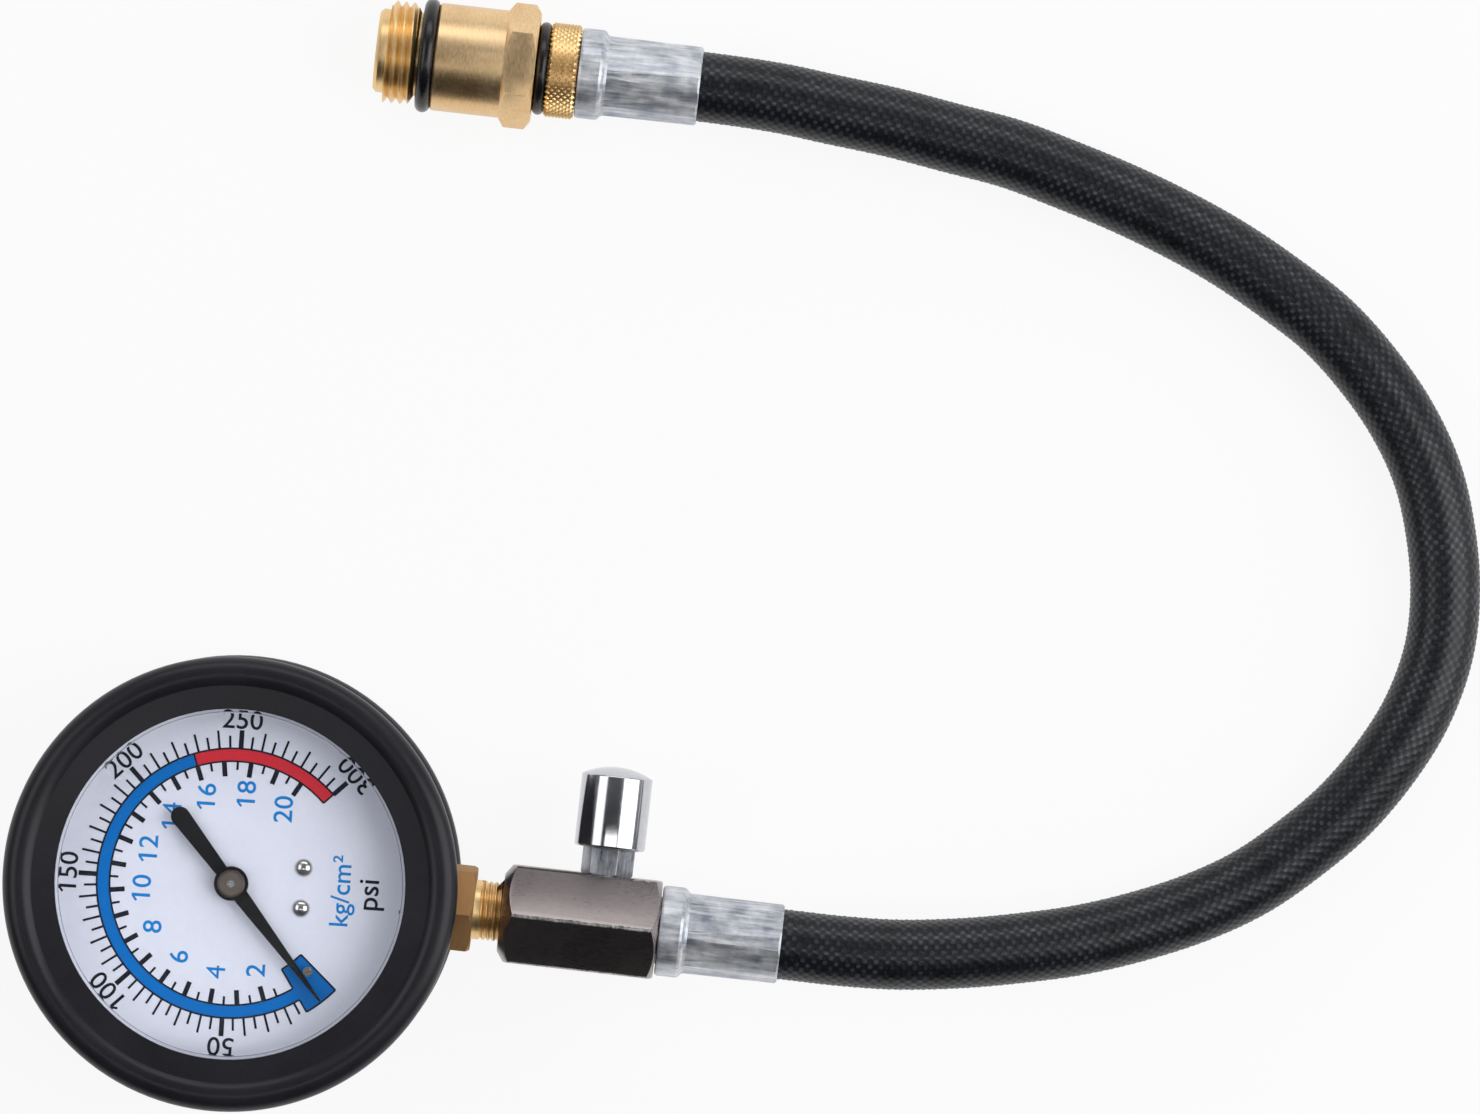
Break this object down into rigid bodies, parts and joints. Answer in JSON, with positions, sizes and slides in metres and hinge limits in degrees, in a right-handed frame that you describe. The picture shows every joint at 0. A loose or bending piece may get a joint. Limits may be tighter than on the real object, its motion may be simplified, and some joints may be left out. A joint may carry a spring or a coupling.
{
  "type": "compression tester gauge",
  "caption": "Engine compression tester: dial gauge in a rubber boot on a hex valve block with push release, and a flexible hose ending in a threaded spark plug adapter.",
  "frame": {"origin": "middle of the boot's back face, on the surface that the tester lies on", "axes": "+X along the stem from the gauge to the hose, +Z out of the dial, +Y towards the release valve"},
  "size_m": [0.2507, 0.1979, 0.0344],
  "materials": {
    "boot_rubber": "satin moulded rubber",
    "case_steel": "zinc plated pressed steel",
    "screw_steel": "bright plated",
    "window_clear": "clear acrylic",
    "dial_enamel": "printed white enamel",
    "pointer_black": "satin black",
    "hub_steel": "turned",
    "arbor_steel": "polished",
    "movement_brass": "stamped",
    "spring_bronze": "drawn",
    "stem_brass": "turned",
    "block_steel": "dark nickel plated",
    "valve_steel": "nickel plated",
    "cap_chrome": "mirror plated",
    "spring_steel": "drawn wire",
    "seal_rubber": "glossy moulded rubber",
    "fitting_brass": "turned",
    "ferrule_alloy": "scratched, as drawn",
    "hose_rubber": "braid impression",
    "adapter_brass": "satin turned"
  },
  "bodies": {
    "tester": {"rubber_boot": "boot_rubber", "gauge_case": "case_steel", "case_screws": "screw_steel", "window": "window_clear", "dial_plate": "dial_enamel", "dial_screws": "screw_steel", "dial_spacers": "movement_brass", "stop_pin": "screw_steel", "hairspring": "spring_bronze", "hairspring_stud": "movement_brass", "front_plate": "movement_brass", "back_plate": "movement_brass", "pillars": "movement_brass", "movement_screws": "screw_steel", "bourdon_tube": "spring_bronze", "stem_socket": "stem_brass", "valve_block": "block_steel", "release_body": "valve_steel", "release_spring": "spring_steel", "block_nipple": "fitting_brass", "block_ferrule": "ferrule_alloy", "hose": "hose_rubber", "end_ferrule": "ferrule_alloy", "hose_fitting": "fitting_brass", "fitting_seal": "seal_rubber", "adapter": "adapter_brass", "adapter_o_ring": "seal_rubber", "check_core": "fitting_brass", "check_spring": "spring_steel"},
    "pointer": {"pointer": "pointer_black", "pointer_hub": "hub_steel", "pinion_arbor": "arbor_steel"},
    "sector": {"sector_gear": "movement_brass", "sector_arbor": "arbor_steel", "sector_pin": "arbor_steel"},
    "link": {"link": "movement_brass"},
    "tube_end": {"tube_tip": "movement_brass", "tip_pin": "arbor_steel"},
    "release_cap": {"release_button": "cap_chrome", "release_pin": "arbor_steel", "release_seal": "seal_rubber"},
    "check_poppet": {"check_pin": "arbor_steel", "check_seal": "seal_rubber"}
  },
  "joints": [
    {"name": "pointer_turn", "type": "hinge", "parent": "tester", "child": "pointer", "pos_m": [0, 0, 0.0265], "axis": [0, 0, -1], "range_deg": [0, 265.9], "stiffness_Nm_per_rad": 0.00002, "springref_deg": -17.19, "deforming": ["hairspring"]},
    {"name": "sector_turn", "type": "hinge", "parent": "tester", "child": "sector", "pos_m": [0.00146, 0.01191, 0.014], "axis": [0, 0, 1], "range_deg": [0, 29.6]},
    {"name": "link_turn", "type": "hinge", "parent": "sector", "child": "link", "pos_m": [0.00636, 0.01537, 0.0151], "axis": [0, 0, 1], "range_deg": [-29.6, 0]},
    {"name": "tube_end_shift", "type": "slide", "parent": "tester", "child": "tube_end", "axis": [-0.766, 0.6428, 0], "range_m": [0, 0.00306], "stiffness_N_per_m": 200, "springref_m": -0.0005, "deforming": ["bourdon_tube"]},
    {"name": "release_press", "type": "slide", "parent": "tester", "child": "release_cap", "axis": [0, -1, 0], "range_m": [0, 0.002], "stiffness_N_per_m": 400, "springref_m": -0.004, "deforming": ["release_spring"]},
    {"name": "check_open", "type": "slide", "parent": "tester", "child": "check_poppet", "axis": [1, 0, 0], "range_m": [0, 0.001], "stiffness_N_per_m": 20, "springref_m": -0.001, "deforming": ["check_spring"]}
  ],
  "couplings": [
    {"joint": "pointer_turn", "follows": "tube_end_shift", "rad_per_m": 1516.8},
    {"joint": "sector_turn", "follows": "tube_end_shift", "rad_per_m": 168.53},
    {"joint": "link_turn", "follows": "tube_end_shift", "rad_per_m": -168.53}
  ]
}
